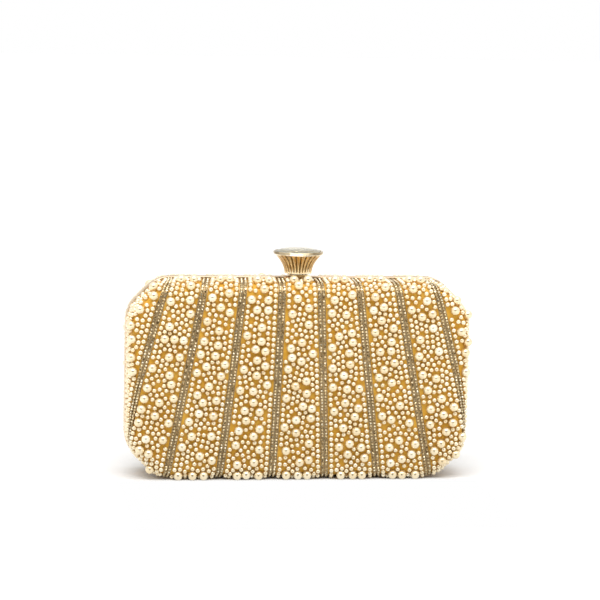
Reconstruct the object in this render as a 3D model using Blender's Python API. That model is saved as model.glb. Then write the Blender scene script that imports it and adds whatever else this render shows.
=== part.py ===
"""Evening bag: a hard box clutch in two dished halves, hinged along the bottom.

Frame: metres, +Z up, X across the bag, the front faces -Y. The bag stands on z = 0, and the plane
where the two halves meet is y = 0. The rear half stays still, and the front half opens forwards.
"""
import math

import bmesh
import bpy
from mathutils import Vector

MM = 0.001

# ---- driving dimensions, in millimetres ----
HALF_WIDTH = 98.2          # the cover's outline, at the frame
HEIGHT = 114.2
CHAMFER = 18.0             # leg of the cut-off corners
CORNER_RADIUS = 19.0       # rounding at both ends of each cut-off corner
ROOT_Y = 3.3               # where cover, shell and lining start, behind their frame
WALL_Y = 13.0              # where the side wall ends and the edge rounding starts
EDGE_RADIUS = 7.5          # rounding between side wall and face
CROWN = 2.0                # how far the middle of each face stands out
TAPER = 0.0008             # how much the outline shrinks for each millimetre of depth
GAP = 0.3                  # clearance between neighbouring pieces

COVER_THICKNESS = 2.4
SHELL_THICKNESS = 1.5
LINING_THICKNESS = 0.8
SHELL_OUT = COVER_THICKNESS + GAP
LINING_OUT = SHELL_OUT + SHELL_THICKNESS + GAP
LINING_IN = LINING_OUT + LINING_THICKNESS

FRAME_NEAR_Y = 0.15        # each frame's mating face
FRAME_FAR_Y = 3.0
FRAME_EDGE = 0.35          # softened outer edges
FLANGE_Y = 8.0             # how deep the frame's inner flange reaches
FLANGE_OUT = LINING_IN + GAP
FLANGE_IN = FLANGE_OUT + 1.0
FRAME_BOTTOM_Z = 1.9       # the frames stop above the hinge axis

BAND_COUNT = 8
BAND_WIDTH = 4.8
BAND_LIFT = (0.4, 1.2)      # under and top side of a band, above the cover
BAND_PITCH_MID = 25.2      # spacing of the bands at BAND_MID_Z
BAND_MID_Z = 72.7
BAND_FAN = 0.0745          # how much that spacing grows for each millimetre down
BAND_SIDE_END_Z = 9.0      # the outermost bands run off the sides and stop here

HINGE_Z = 1.65             # axis of the opening joint, at y = 0
HINGE_X = 55.0
HINGE_LENGTH = 24.0
KNUCKLE_RADIUS = 1.6
KNUCKLE_BORE = 1.0
PIN_RADIUS = 0.7
LEAF_Y = (0.7, 1.5)
LEAF_Z = (3.6, 6.3)
LEAF_EAR_Z = 2.5           # where the ears of a leaf start, inside its knuckles
NOTCH_Y = 2.1              # room in the frames for the leaves
NOTCH_TOP_Z = 7.5

KNOB_BASE_Z = 116.0
KNOB_RIM_Z = 127.2
KNOB_TOP_Z = 127.6
KNOB_NECK_RADIUS = 7.5
KNOB_RIM_RADIUS = 14.4
KNOB_SEAT_RADIUS = 12.9
KNOB_SEAT_Z = 126.8
FLARE = 2.4                # how sharply the knob widens towards its rim
FLUTES = 16
FLUTE_DEPTH = 0.03         # as a share of the radius
BEZEL_TOP_Z = 129.5
STONE_SHOULDERS = ((1.0, 128.6), (0.8, 129.7), (0.5, 130.3))
STONE_TOP_Z = 130.4
STEM_RADIUS = 1.9
STEM_Z = (94.6, 124.6)
STEM_BORE_TOP_Z = 124.9
COLLAR_RADIUS = 2.7
COLLAR_Z = (98.1, 99.6)
NUT_RADIUS = 3.6
NUT_Z = (94.8, 96.3)
BUSH_RADIUS = 3.0
BUSH_LOW_Z = 100.4
BUSH_ROOM = 0.4
BUSH_FLANGE_RADIUS = 5.5
BUSH_FLANGE_Z = (114.5, 115.3)
SPRING_ROOM_Z = 120.6
SPRING_WIRE_RADIUS = 0.35
SPRING_COIL_RADIUS = 3.7
SPRING_TURNS = 3.5
PLATE_Z = (105.3, 106.5)   # latch bracket and keeper
BRACKET_HALF_WIDTH = 10.0
BRACKET_Y = (-4.4, 8.0)
HOOK_HALF_WIDTH = 5.0
HOOK_BACK_Y = 4.5
HOOK_Z = (96.6, 97.8)
HOOK_LIP_Y = (-10.8, -9.6)
HOOK_LIP_Z = 101.1
KEEPER_HALF_WIDTH = 9.0
KEEPER_Y = (-9.2, -4.7)
KEEPER_LIP_Y = -8.2
KEEPER_LIP_Z = 101.5
SCREW_Z = (104.3, 105.0, 108.0)   # a screw's head, the plate it bears on, and its tip
SCREW_HEAD_RADIUS = 1.6
SCREW_RADIUS = 0.8
SCREW_HOLE_RADIUS = 1.1
BRACKET_SCREWS = ((-7.5, 5.9), (7.5, 5.9))
KEEPER_SCREWS = ((-6.5, -6.4), (6.5, -6.4))

POCKET_HALF_WIDTH = 58.0
POCKET_Z = (24.0, 76.0)
POCKET_THICKNESS = 0.8

CORNER_STEPS = 3           # facets in each 45 degree turn of the outline
ARC_STEPS = 3              # facets in the edge rounding
FACE_SCALES = (0.7, 0.35)  # rings of the face, as shares of its outline
BAND_FACE_STEPS = 7
SIDE_BAND_FACE_STEPS = 12
COIL_STEPS = 13            # facets in one turn of the spring
WIRE_SIDES = 6
POCKET_COLUMNS = 8


# ---- scene and materials ----

def clear_scene():
    for obj in list(bpy.data.objects):
        bpy.data.objects.remove(obj, do_unlink=True)


def make_material(name, color, roughness, metallic):
    mat = bpy.data.materials.new(name)
    mat.use_nodes = True
    shader = mat.node_tree.nodes["Principled BSDF"]
    shader.inputs["Base Color"].default_value = (*color, 1.0)
    shader.inputs["Roughness"].default_value = roughness
    shader.inputs["Metallic"].default_value = metallic
    return mat


def make_joint_empties():
    front = bpy.data.objects.new("front_half_hinge", None)
    front.location = (0.0, 0.0, HINGE_Z * MM)
    knob = bpy.data.objects.new("knob_slide", None)
    knob.location = (0.0, 0.0, KNOB_BASE_Z * MM)
    for empty in (front, knob):
        bpy.context.collection.objects.link(empty)
    bpy.context.view_layer.update()
    return front, knob


def add_object(name, verts, faces, mat, parent=None):
    """A mesh object from millimetre points; its origin is its parent's, or the world's."""
    mesh = bpy.data.meshes.new(name)
    shift = parent.location if parent else Vector((0.0, 0.0, 0.0))
    mesh.from_pydata([Vector(v) * MM - shift for v in verts], [], faces)
    bm = bmesh.new()
    bm.from_mesh(mesh)
    bmesh.ops.recalc_face_normals(bm, faces=bm.faces)
    bm.to_mesh(mesh)
    bm.free()
    if mat:
        mesh.materials.append(mat)
    obj = bpy.data.objects.new(name, mesh)
    bpy.context.collection.objects.link(obj)
    obj.parent = parent
    return obj


def add_boolean(obj, verts, faces, operation="DIFFERENCE"):
    """Cut or join a helper solid, which stays hidden from the finished part."""
    cutter = add_object(f"{obj.name}_tool_{len(obj.modifiers)}", verts, faces, None)
    cutter.hide_render = True
    cutter.display_type = "WIRE"
    mod = obj.modifiers.new("Boolean", "BOOLEAN")
    mod.operation = operation
    mod.solver = "EXACT"
    mod.object = cutter


# ---- plain solids, as (points, faces) ----

def box(low, high):
    (x0, y0, z0), (x1, y1, z1) = low, high
    verts = [(x, y, z) for z in (z0, z1) for x, y in ((x0, y0), (x1, y0), (x1, y1), (x0, y1))]
    faces = [(3, 2, 1, 0), (4, 5, 6, 7)]
    faces += [(i, (i + 1) % 4, (i + 1) % 4 + 4, i + 4) for i in range(4)]
    return verts, faces


def turned(profile, steps, center=(0.0, 0.0), waves=0.0):
    """Spin a closed (radius, z) profile about a vertical axis; radius 0 gives a single point."""
    verts = []
    rings = []
    for radius, z in profile:
        if radius == 0.0:
            rings.append([len(verts)] * steps)
            verts.append((center[0], center[1], z))
            continue
        rings.append(list(range(len(verts), len(verts) + steps)))
        for i in range(steps):
            angle = 2 * math.pi * i / steps
            reach = radius * (1.0 - (waves if i % 2 else 0.0))
            verts.append((center[0] + reach * math.cos(angle), center[1] + reach * math.sin(angle), z))
    faces = []
    for a, b in zip(rings, rings[1:] + rings[:1]):
        for i in range(steps):
            j = (i + 1) % steps
            corners = [a[i], a[j], b[j], b[i]]
            face = tuple(dict.fromkeys(corners))
            if len(face) > 2:
                faces.append(face)
    return verts, faces


def cylinder(radius, low_z, high_z, steps=12, center=(0.0, 0.0)):
    return turned([(0.0, low_z), (radius, low_z), (radius, high_z), (0.0, high_z)], steps, center)


def along_x(outline, low_x, high_x):
    """Extrude a (y, z) outline between two x values."""
    count = len(outline)
    verts = [(x, y, z) for x in (low_x, high_x) for y, z in outline]
    faces = [tuple(range(count)), tuple(range(2 * count - 1, count - 1, -1))]
    faces += [(i, i + count, (i + 1) % count + count, (i + 1) % count) for i in range(count)]
    return verts, faces


def circle_yz(radius, z, steps=12):
    angles = [2 * math.pi * i / steps for i in range(steps)]
    return [(radius * math.cos(a), z + radius * math.sin(a)) for a in angles]


def tube_x(outer, inner, z, low_x, high_x, steps=12):
    verts = []
    for x in (low_x, high_x):
        for radius in (outer, inner):
            verts += [(x, py, pz) for py, pz in circle_yz(radius, z, steps)]
    faces = []
    for i in range(steps):
        j = (i + 1) % steps
        ring = [(k * steps + i, k * steps + j) for k in range(4)]
        for a, b in ((0, 1), (1, 3), (3, 2), (2, 0)):
            faces.append((ring[a][0], ring[a][1], ring[b][1], ring[b][0]))
    return verts, faces


# ---- the bag's outline and its dished surface ----

def outline(inset):
    """The rounded octagon, moved in by inset, as (x, z) points."""
    half = HALF_WIDTH - inset
    low, high = inset, HEIGHT - inset
    leg = CHAMFER - inset * (2 - math.sqrt(2))
    radius = max(CORNER_RADIUS - inset, 1.0)
    corners = [(half - leg, low), (half, low + leg), (half, high - leg), (half - leg, high),
               (leg - half, high), (-half, high - leg), (-half, low + leg), (leg - half, low)]
    turn = math.radians(45)
    points = []
    for i, (x, z) in enumerate(corners):
        start = -math.pi / 2 + turn * i
        reach = radius / math.cos(turn / 2)
        cx = x - reach * math.cos(start + turn / 2)
        cz = z - reach * math.sin(start + turn / 2)
        for k in range(CORNER_STEPS + 1):
            angle = start + turn * k / CORNER_STEPS
            points.append((cx + radius * math.cos(angle), cz + radius * math.sin(angle)))
    return points


def taper(x, y, z):
    shrink = 1.0 - TAPER * max(abs(y) - ROOT_Y, 0.0)
    return (x * shrink, y, z * shrink)


def crown(x, z):
    across = 1.0 - (x / HALF_WIDTH) ** 2
    up = 1.0 - ((z - HEIGHT / 2) / (HEIGHT / 2)) ** 2
    return CROWN * max(across, 0.0) * max(up, 0.0)


def dish_rows(depth):
    """Closed rows of points over one dished surface, depth below the outer one, rim first."""
    radius = EDGE_RADIUS - depth
    rows = [[(x, ROOT_Y, z) for x, z in outline(depth)]]
    for k in range(ARC_STEPS + 1):
        angle = math.pi / 2 * k / ARC_STEPS
        y = WALL_Y + radius * math.sin(angle)
        ring = outline(EDGE_RADIUS - radius * math.cos(angle))
        rows.append([(x, y + crown(x, z) * math.sin(angle), z) for x, z in ring])
    face_y = WALL_Y + radius
    for scale in FACE_SCALES:
        ring = [(x * scale, HEIGHT / 2 + (z - HEIGHT / 2) * scale) for x, z in outline(EDGE_RADIUS)]
        rows.append([(x, face_y + crown(x, z), z) for x, z in ring])
    middle = (0.0, face_y + CROWN, HEIGHT / 2)
    return rows, middle


def dish(outer_depth, inner_depth, side):
    """A closed dished solid between two depths; side is -1 for the front half, +1 for the rear."""
    outer_rows, outer_middle = dish_rows(outer_depth)
    inner_rows, inner_middle = dish_rows(inner_depth)
    count = len(outer_rows[0])
    verts = []
    for row in outer_rows + inner_rows[::-1]:
        verts += [taper(*p) for p in row]
    verts += [taper(*outer_middle), taper(*inner_middle)]
    verts = [(x, side * y, z) for x, y, z in verts]
    levels = len(outer_rows)
    faces = []
    for level in range(2 * levels):
        if level == levels - 1:
            continue
        a = level * count
        b = (level + 1) % (2 * levels) * count
        faces += [(a + i, a + (i + 1) % count, b + (i + 1) % count, b + i) for i in range(count)]
    middles = ((levels - 1, 2 * levels * count), (levels, 2 * levels * count + 1))
    for level, center in middles:
        a = level * count
        faces += [(a + i, a + (i + 1) % count, center) for i in range(count)]
    return verts, faces


def frame_ring(side):
    """One mouth frame: a flat ring with softened edges and an inner flange."""
    profile = [(FRAME_EDGE, FRAME_NEAR_Y), (0.0, FRAME_NEAR_Y + FRAME_EDGE),
               (0.0, FRAME_FAR_Y - FRAME_EDGE), (FRAME_EDGE, FRAME_FAR_Y),
               (FLANGE_OUT, FRAME_FAR_Y), (FLANGE_OUT, FLANGE_Y),
               (FLANGE_IN, FLANGE_Y), (FLANGE_IN, FRAME_NEAR_Y)]
    verts = []
    for inset, y in profile:
        ring = [taper(x, y, z) for x, z in outline(inset)]
        verts += [(x, side * y, z) for x, y, z in ring]
    count = len(outline(0.0))
    faces = []
    for level in range(len(profile)):
        a = level * count
        b = (level + 1) % len(profile) * count
        faces += [(a + i, a + (i + 1) % count, b + (i + 1) % count, b + i) for i in range(count)]
    return verts, faces


# ---- crystal bands: straight in the unrolled cover, then wrapped over its edges ----

def nearest_core_point(u, v):
    """The closest point of the octagon whose corners are the centres of the corner roundings."""
    half = HALF_WIDTH - CORNER_RADIUS
    tall = HEIGHT / 2 - CORNER_RADIUS
    leg = CHAMFER - CORNER_RADIUS * (2 - math.sqrt(2))
    across, up = abs(u), abs(v - HEIGHT / 2)
    x, z = min(across, half), min(up, tall)
    if x + z > half + tall - leg:
        along = min(max((across - half + leg - up + tall) / (2 * leg), 0.0), 1.0)
        x, z = half - leg + along * leg, tall - along * leg
    return math.copysign(x, u), HEIGHT / 2 + math.copysign(z, v - HEIGHT / 2)


def unrolled(u, v, lift):
    """The place on the cover of a point (u, v) of the unrolled face, lift above the surface."""
    x, z = nearest_core_point(u, v)
    away = Vector((u - x, v - z))
    past = away.length - (CORNER_RADIUS - EDGE_RADIUS)
    radius = EDGE_RADIUS + lift
    if past <= 0.0:
        return taper(u, WALL_Y + radius + crown(u, v), v)
    away.normalize()
    angle = min(past / EDGE_RADIUS, math.pi / 2)
    wall = min(max(past - EDGE_RADIUS * math.pi / 2, 0.0), WALL_Y - ROOT_Y - GAP)
    reach = CORNER_RADIUS - EDGE_RADIUS + radius * math.sin(angle)
    px, pz = x + away.x * reach, z + away.y * reach
    y = WALL_Y + radius * math.cos(angle) - wall
    return taper(px, y + crown(px, pz) * math.cos(angle), pz)


def band_center(place, v):
    return place * (BAND_PITCH_MID + BAND_FAN * (BAND_MID_Z - v))


def band_stations(place):
    """Heights in the unrolled face at which a band gets a cross-section, from the top down."""
    top = HEIGHT - EDGE_RADIUS
    arc = EDGE_RADIUS * math.pi / 2
    wall = WALL_Y - ROOT_Y - GAP
    over_top = [top + arc + wall] + [top + arc * k / ARC_STEPS for k in range(ARC_STEPS, 0, -1)]
    runs_off_side = abs(place) > BAND_COUNT / 2 - 1
    face_steps = SIDE_BAND_FACE_STEPS if runs_off_side else BAND_FACE_STEPS
    low = BAND_SIDE_END_Z if runs_off_side else EDGE_RADIUS
    face = [top + (low - top) * k / face_steps for k in range(face_steps + 1)]
    under = [] if runs_off_side else [low - arc * k / ARC_STEPS for k in (1, 1.7)]
    return over_top + face + under


def band(index, side):
    place = index - (BAND_COUNT - 1) / 2
    columns = 4 if abs(place) > BAND_COUNT / 2 - 1 else 1
    offsets = [(i / columns - 0.5) * BAND_WIDTH for i in range(columns + 1)]
    verts = []
    for v in band_stations(place):
        around = [(offset, BAND_LIFT[0]) for offset in offsets]
        around += [(offset, BAND_LIFT[1]) for offset in offsets[::-1]]
        for offset, lift in around:
            x, y, z = unrolled(band_center(place, v) + offset, v, lift)
            verts.append((x, side * y, z))
    ring = 2 * len(offsets)
    levels = len(verts) // ring
    faces = [tuple(range(ring)), tuple(range(levels * ring - 1, levels * ring - ring - 1, -1))]
    for level in range(levels - 1):
        a = ring * level
        faces += [(a + i, a + (i + 1) % ring, a + (i + 1) % ring + ring, a + i + ring)
                  for i in range(ring)]
    return verts, faces


# ---- hinges ----

def add_hinge_leaf(name, side, center_x, stretches, mat, parent):
    """A leaf plate beside the meeting plane, with ears and knuckles on its own stretches."""
    plate_low, plate_high = LEAF_Z
    y0, y1 = sorted((side * LEAF_Y[0], side * LEAF_Y[1]))
    low_x = center_x - HINGE_LENGTH / 2
    high_x = center_x + HINGE_LENGTH / 2
    leaf = add_object(name, *box((low_x, y0, plate_low), (high_x, y1, plate_high)), mat, parent)
    for start, end in stretches:
        x0, x1 = low_x + start, low_x + end
        add_boolean(leaf, *box((x0, y0, LEAF_EAR_Z), (x1, y1, plate_low + GAP)), "UNION")
        add_boolean(leaf, *tube_x(KNUCKLE_RADIUS, KNUCKLE_BORE, HINGE_Z, x0, x1), "UNION")
    return leaf


def add_hinges(mats, front_parent):
    third = HINGE_LENGTH / 3
    middle = [(third + GAP / 2, 2 * third - GAP / 2)]
    ends = [(0.0, third - GAP / 2), (2 * third + GAP / 2, HINGE_LENGTH)]
    for word, sign in (("left", -1), ("right", 1)):
        x = sign * HINGE_X
        add_hinge_leaf(f"hinge_leaf_front_{word}", -1, x, middle, mats["gold"], front_parent)
        add_hinge_leaf(f"hinge_leaf_rear_{word}", 1, x, ends, mats["gold"], None)
        pin = along_x(circle_yz(PIN_RADIUS, HINGE_Z), x - HINGE_LENGTH / 2, x + HINGE_LENGTH / 2)
        add_object(f"hinge_pin_{word}", *pin, mats["steel"])


def cut_frame(frame_obj, screws):
    """Room for the hinges and the latch bush, and holes for the latch screws."""
    reach_y = FLANGE_Y + 1.0
    below = box((-HALF_WIDTH - 1.0, -reach_y, -5.0), (HALF_WIDTH + 1.0, reach_y, FRAME_BOTTOM_Z))
    add_boolean(frame_obj, *below)
    for sign in (-1, 1):
        reach = HINGE_LENGTH / 2 + GAP
        low = (sign * HINGE_X - reach, -NOTCH_Y, 0.0)
        high = (sign * HINGE_X + reach, NOTCH_Y, NOTCH_TOP_Z)
        add_boolean(frame_obj, *box(low, high))
    add_boolean(frame_obj, *cylinder(BUSH_RADIUS + BUSH_ROOM, BUSH_LOW_Z, HEIGHT + 1.0))
    for x, y in screws:
        hole = cylinder(SCREW_HOLE_RADIUS, BUSH_LOW_Z, HEIGHT - 3.2, 8, (x, y))
        add_boolean(frame_obj, *hole)


# ---- knob and latch ----

def knob_profile():
    """Closed half-section of the knob body, from the seat of the stone round to the stem hole."""
    profile = [(0.0, KNOB_SEAT_Z), (KNOB_SEAT_RADIUS, KNOB_SEAT_Z), (KNOB_SEAT_RADIUS, KNOB_TOP_Z),
               (KNOB_RIM_RADIUS - 0.3, KNOB_TOP_Z), (KNOB_RIM_RADIUS, KNOB_RIM_Z)]
    rows = 7
    for k in range(1, rows + 1):
        t = 1.0 - k / rows
        z = KNOB_BASE_Z + (KNOB_RIM_Z - KNOB_BASE_Z) * t
        swell = (KNOB_RIM_RADIUS - 0.4 - KNOB_NECK_RADIUS) * t ** FLARE
        profile.append((KNOB_NECK_RADIUS + swell, z))
    inner = BUSH_FLANGE_RADIUS + 0.7
    bore = STEM_RADIUS + GAP
    profile += [(inner, KNOB_BASE_Z), (inner, SPRING_ROOM_Z), (bore, SPRING_ROOM_Z),
                (bore, STEM_BORE_TOP_Z), (0.0, STEM_BORE_TOP_Z)]
    return profile


def knob_stone_profile():
    radius = KNOB_SEAT_RADIUS - GAP
    crown_points = [(radius * share, z) for share, z in STONE_SHOULDERS]
    base = [(0.0, KNOB_SEAT_Z + GAP), (radius, KNOB_SEAT_Z + GAP)]
    return base + crown_points + [(0.0, STONE_TOP_Z)]


def knob_bezel_profile():
    low, high = KNOB_TOP_Z + GAP, BEZEL_TOP_Z
    return [(KNOB_SEAT_RADIUS, low), (KNOB_RIM_RADIUS - 0.3, low), (KNOB_RIM_RADIUS, low + 0.5),
            (KNOB_RIM_RADIUS - 0.3, high - 0.3), (KNOB_SEAT_RADIUS + 0.4, high),
            (KNOB_SEAT_RADIUS, high - 0.4)]


def spring_coil():
    """A round-wire coil about the stem, as one closed tube."""
    wire, sides = SPRING_WIRE_RADIUS, WIRE_SIDES
    low = BUSH_FLANGE_Z[1] + GAP + wire
    high = SPRING_ROOM_Z - GAP - wire
    rings = int(SPRING_TURNS * COIL_STEPS) + 1
    verts = []
    for i in range(rings):
        angle = 2 * math.pi * i / COIL_STEPS
        z = low + (high - low) * i / (rings - 1)
        for k in range(sides):
            spin = 2 * math.pi * k / sides
            reach = SPRING_COIL_RADIUS + wire * math.cos(spin)
            verts.append((reach * math.cos(angle), reach * math.sin(angle), z + wire * math.sin(spin)))
    faces = [tuple(range(sides)), tuple(range(len(verts) - 1, len(verts) - sides - 1, -1))]
    for i in range(rings - 1):
        a = i * sides
        faces += [(a + k, a + (k + 1) % sides, a + (k + 1) % sides + sides, a + k + sides)
                  for k in range(sides)]
    return verts, faces


def add_knob(mats, parent):
    add_object("knob_body", *turned(knob_profile(), 2 * FLUTES, waves=FLUTE_DEPTH), mats["gold"], parent)
    add_object("knob_bezel", *turned(knob_bezel_profile(), 24), mats["gold"], parent)
    add_object("knob_stone", *turned(knob_stone_profile(), 16), mats["crystal"], parent)
    stem = [(0.0, STEM_Z[0]), (STEM_RADIUS, STEM_Z[0]), (STEM_RADIUS, COLLAR_Z[0]),
            (COLLAR_RADIUS, COLLAR_Z[0]), (COLLAR_RADIUS, COLLAR_Z[1]), (STEM_RADIUS, COLLAR_Z[1]),
            (STEM_RADIUS, STEM_Z[1]), (0.0, STEM_Z[1])]
    add_object("knob_stem", *turned(stem, 12), mats["steel"], parent)
    far, near = HOOK_LIP_Y
    low, high = HOOK_Z
    hook = [(HOOK_BACK_Y, low), (HOOK_BACK_Y, high), (near, high), (near, HOOK_LIP_Z),
            (far, HOOK_LIP_Z), (far, low)]
    hook_obj = add_object("latch_hook", *along_x(hook, -HOOK_HALF_WIDTH, HOOK_HALF_WIDTH),
                          mats["steel"], parent)
    bore = STEM_RADIUS + GAP
    add_boolean(hook_obj, *cylinder(bore, low - 1.0, high + 1.0))
    nut = [(bore, NUT_Z[0]), (NUT_RADIUS, NUT_Z[0]), (NUT_RADIUS, NUT_Z[1]), (bore, NUT_Z[1])]
    add_object("stem_nut", *turned(nut, 6), mats["steel"], parent)


def add_latch(mats, front_parent):
    low, high = BUSH_FLANGE_Z
    bore = STEM_RADIUS + GAP
    bush = [(bore, BUSH_LOW_Z), (BUSH_RADIUS, BUSH_LOW_Z), (BUSH_RADIUS, low),
            (BUSH_FLANGE_RADIUS, low), (BUSH_FLANGE_RADIUS, high), (bore, high)]
    add_object("guide_bush", *turned(bush, 16), mats["gold"])
    add_object("latch_spring", *spring_coil(), mats["steel"])
    under, top = PLATE_Z
    plate = box((-BRACKET_HALF_WIDTH, BRACKET_Y[0], under), (BRACKET_HALF_WIDTH, BRACKET_Y[1], top))
    bracket = add_object("latch_bracket", *plate, mats["steel"])
    add_boolean(bracket, *cylinder(BUSH_RADIUS + GAP, under - 1.0, top + 1.0, 16))
    far, near = KEEPER_Y
    keeper = [(far, top), (near, top), (near, under), (KEEPER_LIP_Y, under),
              (KEEPER_LIP_Y, KEEPER_LIP_Z), (far, KEEPER_LIP_Z)]
    keeper_obj = add_object("keeper", *along_x(keeper, -KEEPER_HALF_WIDTH, KEEPER_HALF_WIDTH),
                            mats["steel"], front_parent)
    add_screws("bracket", bracket, BRACKET_SCREWS, mats["steel"], None)
    add_screws("keeper", keeper_obj, KEEPER_SCREWS, mats["steel"], front_parent)


def add_screws(word, plate, places, mat, parent):
    """Screws up through a latch plate into the frame above it."""
    head, shoulder, tip = SCREW_Z
    profile = [(0.0, head), (SCREW_HEAD_RADIUS, head), (SCREW_HEAD_RADIUS, shoulder),
               (SCREW_RADIUS, shoulder), (SCREW_RADIUS, tip), (0.0, tip)]
    for number, center in enumerate(places, 1):
        hole = cylinder(SCREW_HOLE_RADIUS, PLATE_Z[0] - 1.0, PLATE_Z[1] + 1.0, 8, center)
        add_boolean(plate, *hole)
        add_object(f"{word}_screw_{number}", *turned(profile, 8, center), mat, parent)


# ---- soft inside: the slip pocket on the rear lining ----

def pocket_panel():
    """A thin patch that follows the rear lining, open along its top edge."""
    half, columns = POCKET_HALF_WIDTH, POCKET_COLUMNS
    low, high = POCKET_Z
    base = WALL_Y + EDGE_RADIUS - LINING_IN - 2 * GAP
    verts = []
    for z in (low, (low + high) / 2, high):
        for i in range(columns + 1):
            x = -half + 2 * half * i / columns
            y = base + crown(x, z)
            verts += [taper(x, y, z), taper(x, y - POCKET_THICKNESS, z)]
    across = 2 * (columns + 1)
    faces = []
    for row in range(2):
        for i in range(columns):
            a = row * across + 2 * i
            faces.append((a, a + 2, a + 2 + across, a + across))
            faces.append((a + 1, a + 1 + across, a + 3 + across, a + 3))
    for i in range(columns):
        a, b = 2 * i, 2 * across + 2 * i
        faces += [(a, a + 1, a + 3, a + 2), (b, b + 2, b + 3, b + 1)]
    for row in range(2):
        for a in (row * across, row * across + across - 2):
            faces.append((a, a + across, a + across + 1, a + 1))
    return verts, faces


def main():
    clear_scene()
    mats = {
        "pearl": make_material("pearl_cover", (0.86, 0.72, 0.48), 0.35, 0.0),
        "shell": make_material("moulded_shell", (0.55, 0.50, 0.42), 0.6, 0.0),
        "satin": make_material("lining_satin", (0.80, 0.66, 0.42), 0.4, 0.0),
        "gold": make_material("pale_gold", (0.85, 0.68, 0.45), 0.22, 1.0),
        "steel": make_material("latch_steel", (0.62, 0.60, 0.56), 0.3, 1.0),
        "crystal": make_material("crystal", (0.86, 0.82, 0.70), 0.05, 0.0),
    }
    front_parent, knob_parent = make_joint_empties()
    for word, side, parent in (("front", -1, front_parent), ("rear", 1, None)):
        add_object(f"{word}_pearl_cover", *dish(0.0, COVER_THICKNESS, side), mats["pearl"], parent)
        shell = dish(SHELL_OUT, SHELL_OUT + SHELL_THICKNESS, side)
        add_object(f"{word}_shell", *shell, mats["shell"], parent)
        add_object(f"{word}_lining", *dish(LINING_OUT, LINING_IN, side), mats["satin"], parent)
        frame_obj = add_object(f"{word}_frame", *frame_ring(side), mats["gold"], parent)
        cut_frame(frame_obj, KEEPER_SCREWS if side < 0 else BRACKET_SCREWS)
        for index in range(BAND_COUNT):
            name = f"{word}_crystal_band_{index + 1}"
            add_object(name, *band(index, side), mats["crystal"], parent)
    add_object("slip_pocket", *pocket_panel(), mats["satin"])
    add_hinges(mats, front_parent)
    add_knob(mats, knob_parent)
    add_latch(mats, front_parent)


main()
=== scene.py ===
"""Looks of the evening bag: pearls, rhinestones, cloth, frames, knob, lining, stage and camera.

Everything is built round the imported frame. Shapes are worked out in millimetres and become metres
through MM when their mesh is made. The stage, the lights and the camera are in metres.
"""
import math
import bpy
import numpy as np
from mathutils import Matrix, Vector


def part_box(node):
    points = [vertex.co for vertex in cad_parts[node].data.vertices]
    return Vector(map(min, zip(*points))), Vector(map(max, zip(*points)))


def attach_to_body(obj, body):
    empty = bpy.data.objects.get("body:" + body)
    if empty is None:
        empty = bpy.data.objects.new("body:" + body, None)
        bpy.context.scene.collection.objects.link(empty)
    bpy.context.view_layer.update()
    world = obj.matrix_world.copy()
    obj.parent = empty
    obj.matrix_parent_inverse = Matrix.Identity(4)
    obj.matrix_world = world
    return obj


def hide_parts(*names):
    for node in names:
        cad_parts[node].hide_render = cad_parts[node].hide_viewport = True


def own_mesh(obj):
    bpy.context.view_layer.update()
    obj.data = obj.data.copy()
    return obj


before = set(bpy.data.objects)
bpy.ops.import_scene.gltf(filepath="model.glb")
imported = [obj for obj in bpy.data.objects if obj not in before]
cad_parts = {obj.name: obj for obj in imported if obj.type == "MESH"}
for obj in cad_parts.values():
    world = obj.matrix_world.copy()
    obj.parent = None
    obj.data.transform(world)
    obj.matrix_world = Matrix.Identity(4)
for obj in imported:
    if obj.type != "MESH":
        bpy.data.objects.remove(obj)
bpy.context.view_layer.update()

MM = 0.001

# ---- dimensions that follow from the frame ----
COVER_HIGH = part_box("front_pearl_cover")[1]
HALF_WIDTH = COVER_HIGH.x / MM
HEIGHT = COVER_HIGH.z / MM
KNOB_LOW, KNOB_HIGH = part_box("knob_body")
STONE_LOW, STONE_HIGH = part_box("knob_stone")
BEZEL_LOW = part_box("knob_bezel")[0]

# ---- the dished shape, as in the frame ----
CHAMFER = 18.0
CORNER_RADIUS = 19.0
ROOT_Y = 3.3                # where the walls start, at the mouth frame
WALL_Y = 13.0               # where the walls turn into the rounded edge
EDGE_RADIUS = 7.5
CROWN = 2.0
TAPER = 0.0008
NECK_RADIUS = 7.5
FABRIC_LIFT = -1.8          # the cloth lies below the frame's cover, which is as high as the pearls
LINING_DEPTH = 5.3
ARC = EDGE_RADIUS * math.pi / 2
WALL_LIMIT = ARC + WALL_Y - ROOT_Y
FLAT_REACH = CORNER_RADIUS - EDGE_RADIUS
CORE_HALF = HALF_WIDTH - CORNER_RADIUS
CORE_TALL = HEIGHT / 2 - CORNER_RADIUS
LEG = CHAMFER - CORNER_RADIUS * (2 - math.sqrt(2))

# ---- rhinestone bands ----
BAND_COUNT = 8
MIDDLE = (BAND_COUNT - 1) / 2
BAND_PITCH_MID = 25.2
BAND_MID_Z = 72.7
BAND_FAN = 0.0745
BAND_HALF = 2.3
STONE_PITCH = 1.78
STONE_SCALE = 0.79
STONE_ROW = 1.1             # each of a band's two rows is this far from its middle
RIBBON_HALF = 2.25
CUP = -1                    # the facet number of a stone's cup

# ---- pearls ----
LARGE_R = 2.6
SMALL_R = 1.38
LARGE_PER_MM2 = 1 / 57.0
SMALL_PER_MM2 = 1 / 7.4
DRAWS = 9000                # random places tried in each panel
BEYOND = 24                 # they reach this far past the outline, where the face is unrolled
FAR_SIDE = 130.0
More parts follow.
